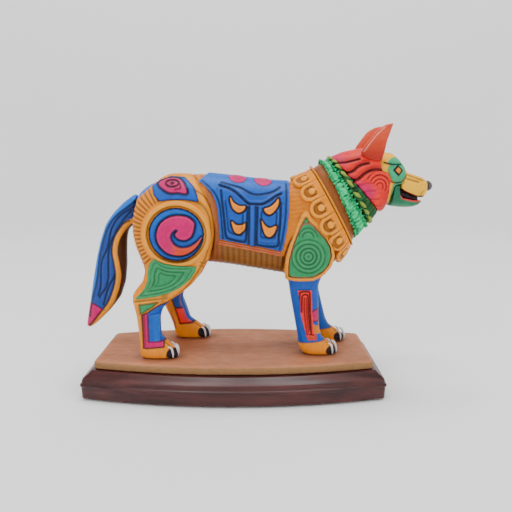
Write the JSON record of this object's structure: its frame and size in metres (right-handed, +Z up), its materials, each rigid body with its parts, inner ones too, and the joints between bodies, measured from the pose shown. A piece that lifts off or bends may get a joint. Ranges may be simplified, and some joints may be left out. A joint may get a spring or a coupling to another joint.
{
  "type": "painted wolf figurine on a plinth",
  "caption": "Standing carved and painted wolf figurine with relief spirals, collar and ruff, on a bow-sided moulded wooden plinth.",
  "frame": {"origin": "centre of the felt's underside, on the plinth's two lines of symmetry", "axes": "+X along the plinth's length towards the animal's nose, +Y towards the animal's left side, +Z up"},
  "size_m": [0.2999, 0.1232, 0.2234],
  "materials": {
    "gold_paint": "satin",
    "blue_paint": "satin",
    "magenta_paint": "satin",
    "green_paint": "satin",
    "teal_paint": "satin",
    "red_paint": "satin",
    "orange_paint": "satin",
    "dark_green_paint": "satin",
    "black_paint": "gloss",
    "amber_paint": "gloss",
    "ground_paint": "matte brushwork",
    "mahogany": "gloss varnish",
    "bare_beech": "unfinished",
    "zinc_steel": "satin",
    "felt": "matte felt"
  },
  "bodies": {
    "root": {"plinth_board": "mahogany", "ground_slab": "ground_paint", "felt_pad": "felt", "base_screw_hind_right": "zinc_steel", "base_screw_hind_left": "zinc_steel", "base_screw_fore_right": "zinc_steel", "base_screw_fore_left": "zinc_steel", "hip_dowel": "bare_beech", "shoulder_dowel": "bare_beech", "neck_dowel": "bare_beech", "tail_dowel": "bare_beech", "ear_peg_right": "bare_beech", "ear_peg_left": "bare_beech", "hind_leg_right": "gold_paint", "hind_leg_left": "gold_paint", "hip_rim_right": "gold_paint", "hip_rim_left": "gold_paint", "shoulder_rim_right": "gold_paint", "shoulder_rim_left": "gold_paint", "fore_leg_right": "gold_paint", "fore_leg_left": "gold_paint", "hip_disc_right": "blue_paint", "hip_disc_left": "blue_paint", "rump_lobe_right": "blue_paint", "rump_lobe_left": "blue_paint", "shank_panel_right": "blue_paint", "shank_panel_left": "blue_paint", "hip_spiral_right": "magenta_paint", "hip_spiral_left": "magenta_paint", "rump_spiral_right": "magenta_paint", "rump_spiral_left": "magenta_paint", "thigh_panel_right": "green_paint", "thigh_panel_left": "green_paint", "shoulder_panel_right": "green_paint", "shoulder_panel_left": "green_paint", "foreleg_panel_right": "red_paint", "foreleg_panel_left": "red_paint", "ear_right": "red_paint", "ear_left": "red_paint", "torso": "gold_paint", "head": "gold_paint", "collar": "gold_paint", "tail": "blue_paint", "saddle_panel": "blue_paint", "saddle_trim_right": "orange_paint", "saddle_trim_left": "orange_paint", "collar_ridge": "orange_paint", "ruff": "green_paint", "inner_ruff": "dark_green_paint", "hood": "red_paint", "lower_jaw": "teal_paint", "nose": "black_paint", "eye_mask_right": "teal_paint", "eye_mask_left": "teal_paint", "eye_right": "amber_paint", "eye_left": "amber_paint"}
  },
  "joints": []
}
